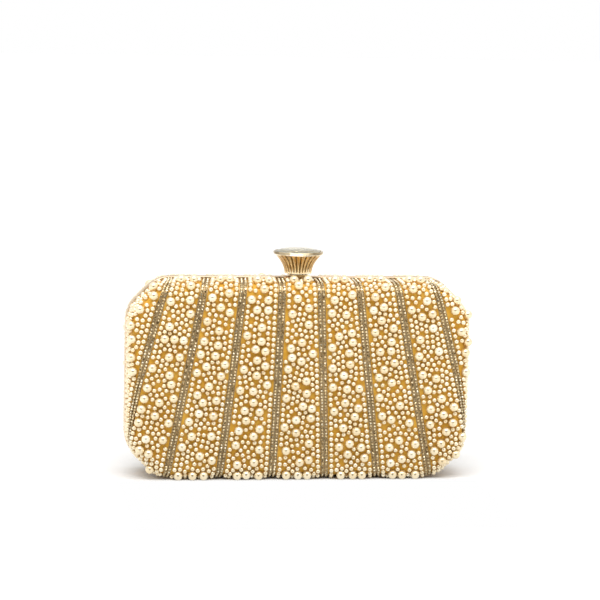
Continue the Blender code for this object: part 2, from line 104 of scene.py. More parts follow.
# Limits are shares of the edge's arc past the flat of the face; the keys -1 and 1 are the sides.
# They apply by rise, the upward part of the direction from the face to the pearl.
DOWNWARD, TOPWARD, SHOULDER = -0.9, 0.5, (0.35, 0.93)
LARGE_TOP = {-1: 1.05, 1: 0.5}
LARGE_SHOULDER = {-1: 1.0, 1: 0.7}
LARGE_SIDE, LARGE_UNDER, SMALL_UNDER = 0.66, 0.43, 0.74
BOTTOM_ROW, TOP_ROW = 0.42, 0.98

# ---- knob ----
KNOB_FLUTES = 28
KNOB_STEPS = 320
KNOB_ROWS = 40
DARK_ROWS = 36              # rows whose flute bottoms get painted shade
FLUTE_DEPTH = 0.46
FLARE_POWER = 1.95
FLARE_TOP = 127.1
NECK_OUTSIDE = 7.8
SEAT_RADIUS = 12.9

# ---- stage and camera ----
PIXELS = 600
SENSOR_MM = 36.0
VIEW_YAW = math.radians(7.6)
VIEW_RISE = math.radians(7.5)
VIEW_ROLL = math.radians(1.15)
VIEW_DISTANCE = 1.5
VIEW_AIM = Vector((0.0015, 0.0, 0.1004))
PIXELS_PER_METRE = 1753.0
WORLD_LIGHT = 0.9
FLOOR_HALF = 6.0
# The floor fades out between each pair, across and in y, where the front half swings through it.
GONE_ACROSS, GONE_NEAR, GONE_FAR = (0.116, 0.102), (-0.017, -0.023), (-0.172, -0.150)
DARK_RADIUS = 1.6
DARK_WIDTH = 0.65


# ---------------------------------------------------------------- the cover's surface

def nearest_core(u, v):
    """Closest points of the octagon whose corners are the centres of the corner roundings."""
    across, up = np.abs(u), np.abs(v - HEIGHT / 2)
    x, z = np.minimum(across, CORE_HALF), np.minimum(up, CORE_TALL)
    cut = x + z > CORE_HALF + CORE_TALL - LEG
    along = np.clip((across - CORE_HALF + LEG - up + CORE_TALL) / (2 * LEG), 0.0, 1.0)
    x = np.where(cut, CORE_HALF - LEG + along * LEG, x)
    z = np.where(cut, CORE_TALL - along * LEG, z)
    return np.copysign(x, u), HEIGHT / 2 + np.copysign(z, v - HEIGHT / 2)


def past_face(u, v):
    """How far unrolled points lie outside the flat of the face."""
    x, z = nearest_core(u, v)
    return np.hypot(u - x, v - z) - FLAT_REACH


def crown(x, z):
    across = np.clip(1 - (x / HALF_WIDTH) ** 2, 0, 1)
    up = np.clip(1 - ((z - HEIGHT / 2) / (HEIGHT / 2)) ** 2, 0, 1)
    return CROWN * across * up


def wrap(u, v, lift, side):
    """Unrolled points to the cover's surface; side -1 is the front half and 1 the rear."""
    u, v = np.asarray(u, float), np.asarray(v, float)
    x, z = nearest_core(u, v)
    dx, dz = u - x, v - z
    length = np.maximum(np.hypot(dx, dz), 1e-9)
    past = length - FLAT_REACH
    radius = EDGE_RADIUS + lift
    angle = np.clip(past / EDGE_RADIUS, 0, math.pi / 2)
    wall = np.maximum(past - ARC, 0)
    reach = np.where(past > 0, FLAT_REACH + radius * np.sin(angle), length)
    px, pz = x + dx / length * reach, z + dz / length * reach
    y = WALL_Y + radius * np.cos(angle) - wall + crown(px, pz) * np.cos(angle)
    shrink = 1 - TAPER * np.maximum(y - ROOT_Y, 0)
    return np.stack([px * shrink, side * y, pz * shrink], -1)


def unit(vectors):
    return vectors / np.maximum(np.linalg.norm(vectors, axis=-1, keepdims=True), 1e-9)


def surface_frame(u, v, lift, side):
    """Points on the cover with their outward normals and their tangents up the face."""
    step = 0.05
    here = wrap(u, v, lift, side)
    du = wrap(u + step, v, lift, side) - wrap(u - step, v, lift, side)
    dv = wrap(u, v + step, lift, side) - wrap(u, v - step, lift, side)
    return here, unit(np.cross(du, dv) * (-side)), dv


def pitch_at(v):
    return BAND_PITCH_MID + BAND_FAN * (BAND_MID_Z - v)


def octagon(reach, arc_steps):
    """The rounded octagon at a distance from its core, about the middle of the face."""
    half, tall = CORE_HALF, CORE_TALL
    corners = [(half - LEG, -tall), (half, LEG - tall), (half, tall - LEG), (half - LEG, tall),
               (LEG - half, tall), (-half, tall - LEG), (-half, LEG - tall), (LEG - half, -tall)]
    line = []
    for i, (x, z) in enumerate(corners):
        start = -math.pi / 2 + math.pi / 4 * i
        for k in range(arc_steps + 1):
            angle = start + math.pi / 4 * k / arc_steps
            line.append((x + reach * math.cos(angle), z + reach * math.sin(angle)))
    return np.array(line)


def resample(line, steps):
    lengths = np.concatenate([[0], np.cumsum(np.linalg.norm(np.diff(line, axis=0), axis=1))])
    want = np.linspace(0, lengths[-1], steps, endpoint=False)
    return np.stack([np.interp(want, lengths, line[:, i]) for i in range(line.shape[1])], -1)


def ring_points(past, steps):
    """Unrolled points of one closed ring, past outside the flat of the face."""
    line = octagon(FLAT_REACH + past, 8)
    return resample(np.concatenate([line, line[:1]]), steps) + (0, HEIGHT / 2)


def dish_rings(steps, wall_rows, arc_rows, face_rows):
    """Unrolled rings from the frame to the middle of the face."""
    pasts = np.concatenate([np.linspace(WALL_LIMIT - 0.02, ARC, wall_rows, endpoint=False),
                            np.linspace(ARC, 0, arc_rows, endpoint=False)])
    rings = [ring_points(past, steps) for past in pasts]
    edge = ring_points(0.0, steps)
    spine = HALF_WIDTH - HEIGHT / 2
    core = np.stack([np.clip(edge[:, 0], -spine, spine), np.full(steps, HEIGHT / 2)], -1)
    for k in range(face_rows):
        t = k / (face_rows - 1)
        rings.append(edge * (1 - t) + core * t)
    return rings


# ---------------------------------------------------------------- mesh helpers

def place_object(name, data):
    obj = bpy.data.objects.new(name, data)
    bpy.context.scene.collection.objects.link(obj)
    return obj


def new_object(name, verts, faces, materials, smooth=True):
    """A mesh object from millimetre points and faces of one or mixed sizes."""
    mesh = bpy.data.meshes.new(name)
    mesh.from_pydata((np.asarray(verts) * MM).tolist(), [], [tuple(f) for f in faces])
    for mat in materials:
        mesh.materials.append(mat)
    mesh.polygons.foreach_set("use_smooth", np.full(len(mesh.polygons), smooth))
    mesh.update()
    return place_object(name, mesh)


def fast_mesh(name, verts, quads, materials, smooth=True, material_index=None, tone_and_painted_light=None):
    """A mesh of many four-sided faces, with an optional value for each point: own tone or painted
    light.
    """
    verts, quads = np.asarray(verts, np.float32) * MM, np.asarray(quads, np.int32)
    mesh = bpy.data.meshes.new(name)
    mesh.vertices.add(len(verts))
    mesh.vertices.foreach_set("co", verts.ravel())
    mesh.loops.add(quads.size)
    mesh.loops.foreach_set("vertex_index", quads.ravel())
    mesh.polygons.add(len(quads))
    mesh.polygons.foreach_set("loop_start", np.arange(0, quads.size, 4, dtype=np.int32))
    for mat in materials:
        mesh.materials.append(mat)
    if material_index is not None:
        mesh.polygons.foreach_set("material_index", np.asarray(material_index, np.int32))
    mesh.update(calc_edges=True)
    mesh.polygons.foreach_set("use_smooth", np.full(len(quads), smooth))
    if tone_and_painted_light is not None:
        layer = mesh.attributes.new("tone_and_painted_light", "FLOAT", "POINT")
        layer.data.foreach_set("value", np.asarray(tone_and_painted_light, np.float32))
    mesh.validate()
    return place_object(name, mesh)


def attach(obj, body, slot_name, *nodes):
    """Let a piece ride on a body and stand for CAD nodes if any are named; slot_name is not used.
    """
    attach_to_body(obj, body)
    for node in nodes:
        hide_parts(node)
    return obj


def grid_quads(rows, columns, closed=True):
    """Faces of a grid of points whose rows are rings when closed."""
    r = np.arange(rows - 1)[:, None] * columns
    c = np.arange(columns if closed else columns - 1)[None, :]
    n = (c + 1) % columns
    return np.stack([r + c, r + n, r + columns + n, r + columns + c], -1).reshape(-1, 4)


def scatter(template, faces, centers, axes, scales):
    """Copies of a template placed at centers, with axes as (n, 3, 3) rows of local x, y, z."""
    count, points = len(centers), len(template)
    turned = np.einsum("pi,nij->npj", template, axes) * scales[:, None, None]
    verts = (turned + centers[:, None, :]).reshape(-1, 3)
    return verts, (faces[None] + (np.arange(count) * points)[:, None, None]).reshape(-1, 4)


def axes_from(normals, along):
    """Rows of local axes: z on the normal, y close to along."""
    x = unit(np.cross(along, normals))
    return np.stack([x, np.cross(normals, x), normals], 1)


def ball(segments, rings):
    """A round ball of quads; each pole is a tiny ring filled with strips."""
    verts, low = [], 0.04
    for k in range(rings + 1):
        polar = low + (math.pi - 2 * low) * k / rings
        for i in range(segments):
            turn = 2 * math.pi * i / segments
            verts.append((math.sin(polar) * math.cos(turn), math.sin(polar) * math.sin(turn),
                          math.cos(polar)))
    quads = grid_quads(rings + 1, segments)[:, ::-1].tolist()
    for start, flip in ((0, False), (rings * segments, True)):
        for i in range(segments // 2 - 1):
            cap = (start + i, start + i + 1, start + segments - 2 - i, start + segments - 1 - i)
            quads.append(cap[::-1] if flip else cap)
    return np.array(verts), np.array(quads)


def lathe(name, profile, steps, material, sharp_degrees, wave=None, tone_and_painted_light=None):
    """A turned solid from a (radius, z) profile whose ends are on the axis or meet."""
    rows = []
    turn = 2 * np.pi * np.arange(steps) / steps
    for k, (radius, z) in enumerate(profile):
        reach = np.full(steps, float(radius)) if wave is None else radius + wave(k, turn)
        rows.append(np.stack([reach * np.cos(turn), reach * np.sin(turn), np.full(steps, z)], -1))
    obj = fast_mesh(name, np.concatenate(rows), grid_quads(len(rows), steps), [material], tone_and_painted_light=tone_and_painted_light)
    obj.data.set_sharp_from_angle(angle=math.radians(sharp_degrees))
    return obj


# ---------------------------------------------------------------- materials
# Texture scales are per metre, because the coordinates are the object's own.

def nodes_of(name, **values):
    """A node material, its tree and its shader, with the values that are the same all over."""
    mat = bpy.data.materials.new(name)
    mat.use_nodes = True
    shader = mat.node_tree.nodes["Principled BSDF"]
    for key, value in values.items():
        shader.inputs[key.replace("_", " ")].default_value = value
    return mat, mat.node_tree, shader


def add(tree, kind, **values):
    node = tree.nodes.new(kind)
    for key, value in values.items():
        if key in node.inputs:
            node.inputs[key].default_value = value
        else:
            setattr(node, key, value)
    return node


def coords(tree, scale=(1, 1, 1)):
    source = tree.nodes.new("ShaderNodeTexCoord")
    mapping = add(tree, "ShaderNodeMapping", Scale=scale)
    tree.links.new(source.outputs["Object"], mapping.inputs["Vector"])
    return mapping.outputs["Vector"]


def drive(tree, shader, socket, factor, stops):
    """Drive a socket by a ramp over factor; a plain number as a stop means that grey."""
    node = tree.nodes.new("ShaderNodeValToRGB")
    while len(node.color_ramp.elements) < len(stops):
        node.color_ramp.elements.new(0.5)
    for element, (place, color) in zip(node.color_ramp.elements, stops):
        element.position = place
        element.color = (*(color if isinstance(color, tuple) else (color,) * 3), 1.0)
    tree.links.new(factor, node.inputs["Fac"])
    tree.links.new(node.outputs["Color"], shader.inputs[socket])


def bump(tree, shader, height, strength, distance):
    node = add(tree, "ShaderNodeBump", Strength=strength, Distance=distance)
    tree.links.new(height, node.inputs["Height"])
    tree.links.new(node.outputs["Normal"], shader.inputs["Normal"])


def noise(tree, vector, scale, detail=3.0, roughness=0.55):
    node = add(tree, "ShaderNodeTexNoise", Scale=scale, Detail=detail, Roughness=roughness)
    tree.links.new(vector, node.inputs["Vector"])
    return node.outputs["Fac"]


def threads(tree, vector, direction, scale, distortion):
    node = add(tree, "ShaderNodeTexWave", Scale=scale, Distortion=distortion,
               bands_direction=direction)
    tree.links.new(vector, node.inputs["Vector"])
    return node.outputs["Fac"]


def mix_values(tree, a, b, kind="ADD"):
    """a and b combined, where b is a socket or a number."""
    node = add(tree, "ShaderNodeMath", operation=kind)
    tree.links.new(a, node.inputs[0])
    if isinstance(b, float):
        node.inputs[1].default_value = b
    else:
        tree.links.new(b, node.inputs[1])
    return node.outputs[0]


def fade(tree, value, start, end):
    """From 0 at start to 1 at end."""
    node = add(tree, "ShaderNodeMapRange", **{"From Min": start, "From Max": end})
    tree.links.new(value, node.inputs["Value"])
    return node.outputs["Result"]


# The per-point value: the pearls' own random tone, the painted shade in the knob's flutes and the
# painted glints on the stones' facets.
def tone_and_painted_light_value(tree):
    return add(tree, "ShaderNodeAttribute", attribute_name="tone_and_painted_light").outputs["Fac"]


def scratch(tree, shader, strength):
    bump(tree, shader, noise(tree, coords(tree, (1, 1, 0.06)), 2600.0, 2.0), strength, 0.0001)


def pearl_material():
    """Cream glass pearl: a slightly varied lustrous body under a clear hard skin."""
    mat, tree, shader = nodes_of("glass_pearl", Metallic=0.65, Specular_IOR_Level=0.8,
                                 Coat_Weight=1.0, Coat_Roughness=0.05)
    place = coords(tree)
    cloud = mix_values(tree, noise(tree, place, 420.0, 2.0), 0.25, "MULTIPLY")
    drive(tree, shader, "Base Color", mix_values(tree, cloud, tone_and_painted_light_value(tree)),
          [(0.0, (0.76, 0.56, 0.29)), (0.35, (0.86, 0.69, 0.42)),
           (0.8, (0.92, 0.79, 0.54)), (1.0, (0.95, 0.86, 0.66))])
    drive(tree, shader, "Roughness", noise(tree, place, 900.0, 2.0), [(0.3, 0.05), (0.7, 0.1)])
    bump(tree, shader, noise(tree, place, 700.0, 2.0), 0.05, 0.0002)
    return mat


def cover_fabric_material():
    """Golden satin weave with a soft sheen and slight shade changes."""
    mat, tree, shader = nodes_of("gold_cover_satin", Roughness=0.45, Specular_IOR_Level=0.15,
                                 Sheen_Weight=0.08, Sheen_Tint=(1.0, 0.8, 0.5, 1.0))
    place = coords(tree)
    weave = mix_values(tree, threads(tree, place, "X", 560.0, 1.2),
                       threads(tree, place, "Z", 560.0, 1.2), "MULTIPLY")
    blotch = mix_values(tree, noise(tree, place, 70.0, 4.0), 0.8, "MULTIPLY")
    shade = mix_values(tree, mix_values(tree, weave, 0.3, "MULTIPLY"), blotch)
    drive(tree, shader, "Base Color", shade,
          [(0.15, (0.54, 0.26, 0.022)), (0.5, (0.70, 0.38, 0.045)), (0.85, (0.84, 0.53, 0.11))])
    bump(tree, shader, weave, 0.35, 0.0002)
    return mat


def stone_material():
    """Champagne rhinestone: metallic facets, each coloured at random from dark brown to near white,
    as painted glints and dark reflections.
    """
    mat, tree, shader = nodes_of("champagne_rhinestone", Metallic=0.8, Coat_Weight=1.0,
                                 Coat_Roughness=0.02)
    # Painted glints: the per-facet value picks a colour from dark brown to near white.
    drive(tree, shader, "Base Color", tone_and_painted_light_value(tree),
          [(0.0, (0.22, 0.15, 0.06)), (0.3, (0.54, 0.42, 0.22)),
           (0.65, (0.88, 0.74, 0.46)), (1.0, (1.0, 0.95, 0.76))])
    drive(tree, shader, "Roughness", noise(tree, coords(tree), 500.0, 2.0),
          [(0.3, 0.05), (0.7, 0.16)])
    return mat


def metal_material(name, dark, light, roughness, wear=60.0):
    """Plated metal with faint smears, fine scratches and slightly duller patches."""
    mat, tree, shader = nodes_of(name, Metallic=1.0)
    place = coords(tree)
    drive(tree, shader, "Base Color", noise(tree, place, wear, 5.0, 0.6),
          [(0.3, dark), (0.7, light)])
    drive(tree, shader, "Roughness", noise(tree, place, wear * 4, 4.0),
          [(0.3, roughness[0]), (0.75, roughness[1])])
    scratch(tree, shader, 0.06)
    return mat


def knob_material():
    """Gold plating with painted shade: the colour goes to near black in the bottom of each flute.
    """
    mat, tree, shader = nodes_of("knob_gold_painted_flute_shade", Metallic=1.0)
    place = coords(tree)
    smear = mix_values(tree, noise(tree, place, 90.0, 4.0), 0.5, "MULTIPLY")
    # Painted shade: the per-point value, high in the flute bottoms, darkens the colour there.
    shade = mix_values(tree, smear, mix_values(tree, tone_and_painted_light_value(tree), 0.75, "MULTIPLY"))
    drive(tree, shader, "Base Color", shade,
          [(0.2, (0.97, 0.86, 0.66)), (0.42, (0.78, 0.65, 0.43)),
           (0.58, (0.24, 0.17, 0.08)), (1.0, (0.05, 0.03, 0.012))])
    drive(tree, shader, "Roughness", noise(tree, place, 260.0, 4.0), [(0.3, 0.09), (0.75, 0.2)])
    scratch(tree, shader, 0.05)
    return mat


def crystal_material():
    mat, tree, shader = nodes_of("clear_champagne_crystal", Transmission_Weight=0.85, IOR=1.52)
    place = coords(tree)
    drive(tree, shader, "Base Color", noise(tree, place, 60.0, 2.0),
          [(0.3, (0.88, 0.80, 0.58)), (0.7, (0.97, 0.93, 0.76))])
    drive(tree, shader, "Roughness", noise(tree, place, 300.0, 3.0), [(0.4, 0.01), (0.8, 0.05)])
    return mat


def foil_material():
    """Mirror foil under the stone, broken into small facets, each given a random colour from dark
    gold to near white as painted sparkle.
    """
    mat, tree, shader = nodes_of("stone_foil", Metallic=1.0)
    cells = add(tree, "ShaderNodeTexVoronoi", Scale=330.0)
    tree.links.new(coords(tree), cells.inputs["Vector"])
    shade = add(tree, "ShaderNodeSeparateColor")
    tree.links.new(cells.outputs["Color"], shade.inputs[0])
    # Painted sparkle: each cell's colour runs from dark gold to near white.
    drive(tree, shader, "Base Color", shade.outputs[0],
          [(0.1, (0.42, 0.35, 0.18)), (0.5, (0.82, 0.76, 0.56)), (0.9, (1.0, 0.97, 0.86))])
    drive(tree, shader, "Roughness", shade.outputs[1], [(0.2, 0.1), (0.8, 0.3)])
    bump(tree, shader, shade.outputs[2], 0.4, 0.0006)
    return mat


def lining_material():
    """Gold satin lining: fine diagonal twill, long soft shade changes and a silky sheen."""
    mat, tree, shader = nodes_of("lining_satin", Roughness=0.38, Sheen_Weight=0.5,
                                 Sheen_Tint=(1.0, 0.9, 0.7, 1.0))
    twill = threads(tree, coords(tree), "DIAGONAL", 420.0, 0.8)
    shade = mix_values(tree, noise(tree, coords(tree, (1, 1, 0.4)), 28.0, 4.0),
                       mix_values(tree, twill, 0.15, "MULTIPLY"))
    drive(tree, shader, "Base Color", shade,
          [(0.25, (0.50, 0.36, 0.17)), (0.6, (0.68, 0.52, 0.29)), (0.9, (0.80, 0.66, 0.42))])
    bump(tree, shader, twill, 0.2, 0.0002)
    return mat


def board_material():
    """Moulded fibre board: matt, with fine fibres."""
    mat, tree, shader = nodes_of("moulded_board", Roughness=0.8)
    fibre = noise(tree, coords(tree, (1, 1, 4)), 180.0, 5.0, 0.7)
    drive(tree, shader, "Base Color", fibre, [(0.3, (0.30, 0.25, 0.18)), (0.7, (0.46, 0.40, 0.31))])
    bump(tree, shader, fibre, 0.3, 0.0005)
    return mat


def floor_material():
    """Pale floor, paler further away: painted shade darkens it round the bag as its soft shadow,
    and painted light whitens it far off where the lamps fall off.
    """
    mat, tree, shader = nodes_of("pale_floor", Roughness=0.9, Specular_IOR_Level=0.1)
    place = coords(tree)
    grain = mix_values(tree, noise(tree, place, 3.0, 3.0), 0.03, "MULTIPLY")
    away = add(tree, "ShaderNodeVectorMath", operation="LENGTH")
    tree.links.new(place, away.inputs[0])
    distance = fade(tree, away.outputs["Value"], 0.15, 2.5)
    # Painted shade and light: the colour runs from 0.77 near the bag to white far away.
    drive(tree, shader, "Base Color", mix_values(tree, grain, distance),
          [(0.0, 0.77), (0.35, 0.93), (1.0, 1.0)])
    open_to_below(tree, shader, place)
    return mat


def open_to_below(tree, shader, place):
    """Fade the floor out where the front half dips below it when it opens."""
    parts = add(tree, "ShaderNodeSeparateXYZ")
    tree.links.new(place, parts.inputs[0])
    across = mix_values(tree, parts.outputs["X"], 0.0, "ABSOLUTE")
    mask = fade(tree, across, *GONE_ACROSS)
    for limits in (GONE_NEAR, GONE_FAR):
        mask = mix_values(tree, mask, fade(tree, parts.outputs["Y"], *limits), "MULTIPLY")
    clear = add(tree, "ShaderNodeBsdfTransparent")
    mix = add(tree, "ShaderNodeMixShader")
    for socket, source in enumerate((mask, shader.outputs[0], clear.outputs[0])):
        tree.links.new(source, mix.inputs[socket])
    tree.links.new(mix.outputs[0], tree.nodes["Material Output"].inputs["Surface"])


# ---------------------------------------------------------------- pearls

def panel_coordinate(u, v):
    """Which panel between the bands a point is in, counted from the left, as a real number."""
    return u / pitch_at(v) + MIDDLE


def band_offset(u, v):
    """Signed distance from the middle of the nearest band."""
    place = panel_coordinate(u, v)
    nearest = np.clip(np.round(place), 0, BAND_COUNT - 1)
    return (place - nearest) * pitch_at(v)


def edge_limit(u, v, radii, side):
    """How far past the flat a pearl may sit: less underneath, and less for large ones."""
    x, z = nearest_core(u, v)
    dx, dz = u - x, v - z
    length = np.maximum(np.hypot(dx, dz), 1e-6)
    rise = dz / length
    share = np.where(rise > TOPWARD, LARGE_TOP[side], LARGE_SIDE)
    share = np.where((rise > SHOULDER[0]) & (rise < SHOULDER[1]), LARGE_SHOULDER[side], share)
    large = np.where(rise < DOWNWARD, LARGE_UNDER, share) * ARC
    small = np.where(rise < DOWNWARD, SMALL_UNDER * ARC, WALL_LIMIT - radii - 0.5)
    return np.where(radii > SMALL_R, large, small), (dx / length, rise), length


def room_for(u, v, radius, side, margin=0.25):
    limit, _, length = edge_limit(u, v, np.full(np.shape(u), radius), side)
    clear = np.abs(band_offset(u, v)) >= BAND_HALF + radius + margin
    return clear & (length - FLAT_REACH <= limit)


def column_points(rng):
    """Small pearls in a line along both edges of every band."""
    points = []
    for band in range(BAND_COUNT):
        place = band - MIDDLE
        for edge in (-1, 1):
            v = -20.0 + rng.uniform(0, 3)
            while v < HEIGHT + 20:
                u = place * pitch_at(v) + edge * (BAND_HALF + SMALL_R + 0.3)
                points.append((u + rng.uniform(-0.1, 0.1), v))
                v += 2.85 + rng.uniform(0, 0.6)
    return np.array(points)


def settle(points, radii, side, steps):
    """Push crowded circles apart, and away from the bands and the frame."""
    points = points.copy()
    large = radii > SMALL_R
    both_small = ~large[:, None] & ~large[None]
    want = radii[:, None] + radii[None] + np.where(both_small, 0.4, 0.2)
    for _ in range(steps):
        delta = points[:, None] - points[None]
        gap = np.hypot(delta[..., 0], delta[..., 1])
        push = np.clip(want - gap, 0, None)
        np.fill_diagonal(push, 0)
        move = (delta / np.maximum(gap, 1e-6)[..., None] * push[..., None]).sum(1) * 0.3
        move[large] *= 0.25
        points += move
        offset = band_offset(points[:, 0], points[:, 1])
        need = BAND_HALF + radii + 0.2
        points[:, 0] += np.sign(offset) * np.clip(need - np.abs(offset), 0, None)
        limit, away, length = edge_limit(points[:, 0], points[:, 1], radii, side)
        over = np.clip(length - FLAT_REACH - limit, 0, None)
        points -= np.stack(away, -1) * over[:, None]
    return points


def row_points(index, v_at, spacing, rng):
    """Large pearls in a row across a panel near the top or bottom edge."""
    straight = HALF_WIDTH - CHAMFER + 1
    left = max((index - 1 - MIDDLE) * pitch_at(v_at), -straight) if index > 0 else -straight
    right = min((index - MIDDLE) * pitch_at(v_at), straight) if index < BAND_COUNT else straight
    room = right - left - 2 * (BAND_HALF + LARGE_R + 0.6)
    if room <= 0:
        return []
    count = int(room / spacing) + 1
    start = left + BAND_HALF + LARGE_R + 0.6
    places = start + room * (np.arange(count) + 0.5 + rng.uniform(-0.28, 0.28, count)) / count
    return [(u, v_at + rng.uniform(-0.5, 0.5)) for u in places]


def large_points(index, pool, wanted, rng, side):
    """Rows along the edges first, then large pearls where there is most room."""
    chosen = row_points(index, EDGE_RADIUS - BOTTOM_ROW * ARC, 8.5, rng)
    if side < 0:
        chosen += row_points(index, HEIGHT - EDGE_RADIUS + TOP_ROW * ARC, 9.0, rng)
    wanted += len(chosen)
    while len(chosen) < wanted:
        some = pool[rng.integers(0, len(pool), 5)]
        if not chosen:
            chosen.append(tuple(some[0]))
            continue
        near = np.linalg.norm(some[:, None] - np.array(chosen)[None], axis=2).min(1)
        best = int(np.argmax(np.minimum(near, 9.0)))
        if near[best] < 5.3:
            wanted -= 1
            continue
        chosen.append(tuple(some[best]))
    return np.array(chosen)


def panel_pearls(index, rng, columns, side):
    """Pearl centres and radii of one panel, settled in the unrolled face."""
    v = rng.uniform(-BEYOND, HEIGHT + BEYOND, DRAWS)
    left = np.where(index < 1, -FAR_SIDE, (index - 1 - MIDDLE) * pitch_at(v))
    right = np.where(index > BAND_COUNT - 1, FAR_SIDE, (index - MIDDLE) * pitch_at(v))
    width = right - left
    u = left + rng.uniform(0, 1, v.size) * width
    pool = np.stack([u, v], -1)
    inside, big_inside = room_for(u, v, SMALL_R, side), room_for(u, v, LARGE_R, side, 0.1)
    area, big_area = (float(np.mean(width * where)) * (HEIGHT + 2 * BEYOND)
                      for where in (inside, big_inside))
    large = large_points(index, pool[big_inside], int(big_area * LARGE_PER_MM2), rng, side)
    mine = np.floor(panel_coordinate(columns[:, 0], columns[:, 1]) + 1).astype(int) == index
    edge = columns[mine & room_for(columns[:, 0], columns[:, 1], SMALL_R, side, 0.0)]
    apart = edge[:, None] - large[None]
    far = np.hypot(apart[..., 0], apart[..., 1]).min(1)
    small = list(edge[far > LARGE_R + SMALL_R - 0.4])
    others = np.concatenate([large, np.array(small)])
    reach = np.repeat([LARGE_R, SMALL_R], [len(large), len(small)])
    small_pool = pool[inside]
    for _ in range(max(int(area * SMALL_PER_MM2) - len(small), 0)):
        some = small_pool[rng.integers(0, len(small_pool), 24)]
        gap = (np.linalg.norm(some[:, None] - others[None], axis=2) - reach).min(1)
        if gap.max() < SMALL_R * 0.7:
            continue
        best = some[int(np.argmax(gap))]
        small.append(best)
        others = np.concatenate([others, best[None]])
        reach = np.append(reach, SMALL_R)
    return settle(others, reach, side, 90), reach


def thin_out(centers, radii):
    """Keep pearls that don't run into one kept earlier; the large ones come first."""
    kept, cells = [], {}
    for i in np.argsort(-radii, kind="stable"):
        cell = tuple(np.floor(centers[i] / (2 * LARGE_R)).astype(int))
        near = [j for dx in (-1, 0, 1) for dy in (-1, 0, 1) for dz in (-1, 0, 1)
                for j in cells.get((cell[0] + dx, cell[1] + dy, cell[2] + dz), ())]
        if near:
            gap = np.linalg.norm(centers[near] - centers[i], axis=1) - radii[near] - radii[i]
            if gap.min() < -0.3:
                continue
        cells.setdefault(cell, []).append(i)
        kept.append(i)
    return np.array(sorted(kept))


def knob_room(centers, radii):
    """Pearls that stay clear of the knob."""
    away = np.hypot(centers[:, 0], centers[:, 1])
    return (away > NECK_RADIUS + 0.6 + radii) | (centers[:, 2] < HEIGHT - 6)


def add_pearls(word, side, body, seed, pearl):
    """All pearls of one half, with the large ones in one piece and the small ones in three."""
    rng = np.random.default_rng(seed)
    columns = column_points(rng)
    panels = [panel_pearls(index, rng, columns, side) for index in range(BAND_COUNT + 1)]
    points, radii = (np.concatenate(parts) for parts in zip(*panels))
    panel = np.repeat(np.arange(BAND_COUNT + 1), [len(p) for p, _ in panels])
    here, normal, _ = surface_frame(points[:, 0], points[:, 1], FABRIC_LIFT, side)
    wall = np.clip(past_face(points[:, 0], points[:, 1]) / ARC, 0, 1) ** 2
    stand = np.where(radii > SMALL_R, 0.84, 0.85 - 0.3 * wall)
    centers = here + normal * (radii * stand)[:, None]
    centers[:, 2] = np.maximum(centers[:, 2], radii + 0.05)
    keep = (np.abs(centers[:, 1]) > ROOT_Y + radii * 0.9) & knob_room(centers, radii)
    centers, radii, panel, normal = (a[keep] for a in (centers, radii, panel, normal))
    kept = thin_out(centers, radii)
    centers, radii, panel, normal = (a[kept] for a in (centers, radii, panel, normal))
    tints = np.clip(rng.normal(0.55, 0.16, len(centers)), 0.05, 0.95)
    axes = axes_from(normal, rng.normal(0, 1, (len(centers), 3)))
    large = radii > SMALL_R
    groups = [("large_pearls", large, ball(20, 12))]
    for name, first, last in (("left", 0, 2), ("middle", 3, 5), ("right", 6, 8)):
        which = ~large & (panel >= first) & (panel <= last)
        groups.append((f"small_pearls_{name}", which, ball(12, 8)))
    for name, which, (template, faces) in groups:
        verts, quads = scatter(template, faces, centers[which], axes[which], radii[which])
        tone_and_painted_light = np.repeat(tints[which], len(template))
        attach(fast_mesh(f"{word}_{name}", verts, quads, [pearl], tone_and_painted_light=tone_and_painted_light), body, "pearl_cover")


# ---------------------------------------------------------------- cover fabric


def add_cover_fabric(word, side, body, mat):
    """The golden cloth under the pearls, rippled a little by their stitches."""
    steps = 420
    rings = dish_rings(steps, 10, 12, 44)
    uv = np.concatenate(rings)
    here, normal, _ = surface_frame(uv[:, 0], uv[:, 1], FABRIC_LIFT, side)
    phase = np.random.default_rng(7 + side).uniform(0, 6.28, 6)
    ripple = sum(np.sin(uv[:, 0] * f + phase[i]) * np.sin(uv[:, 1] * g + phase[i + 3])
                 for i, (f, g) in enumerate(((0.9, 1.1), (1.7, 1.3), (2.6, 2.9))))
    verts = here + normal * (ripple * 0.07)[:, None]
    verts[:, 2] = np.maximum(verts[:, 2], 0.9)
    quads = grid_quads(len(rings), steps)
    obj = fast_mesh(f"{word}_cover_fabric", verts, quads if side > 0 else quads[:, ::-1], [mat])
    attach(obj, body, "pearl_cover", f"{word}_pearl_cover")


# ---------------------------------------------------------------- rhinestone bands

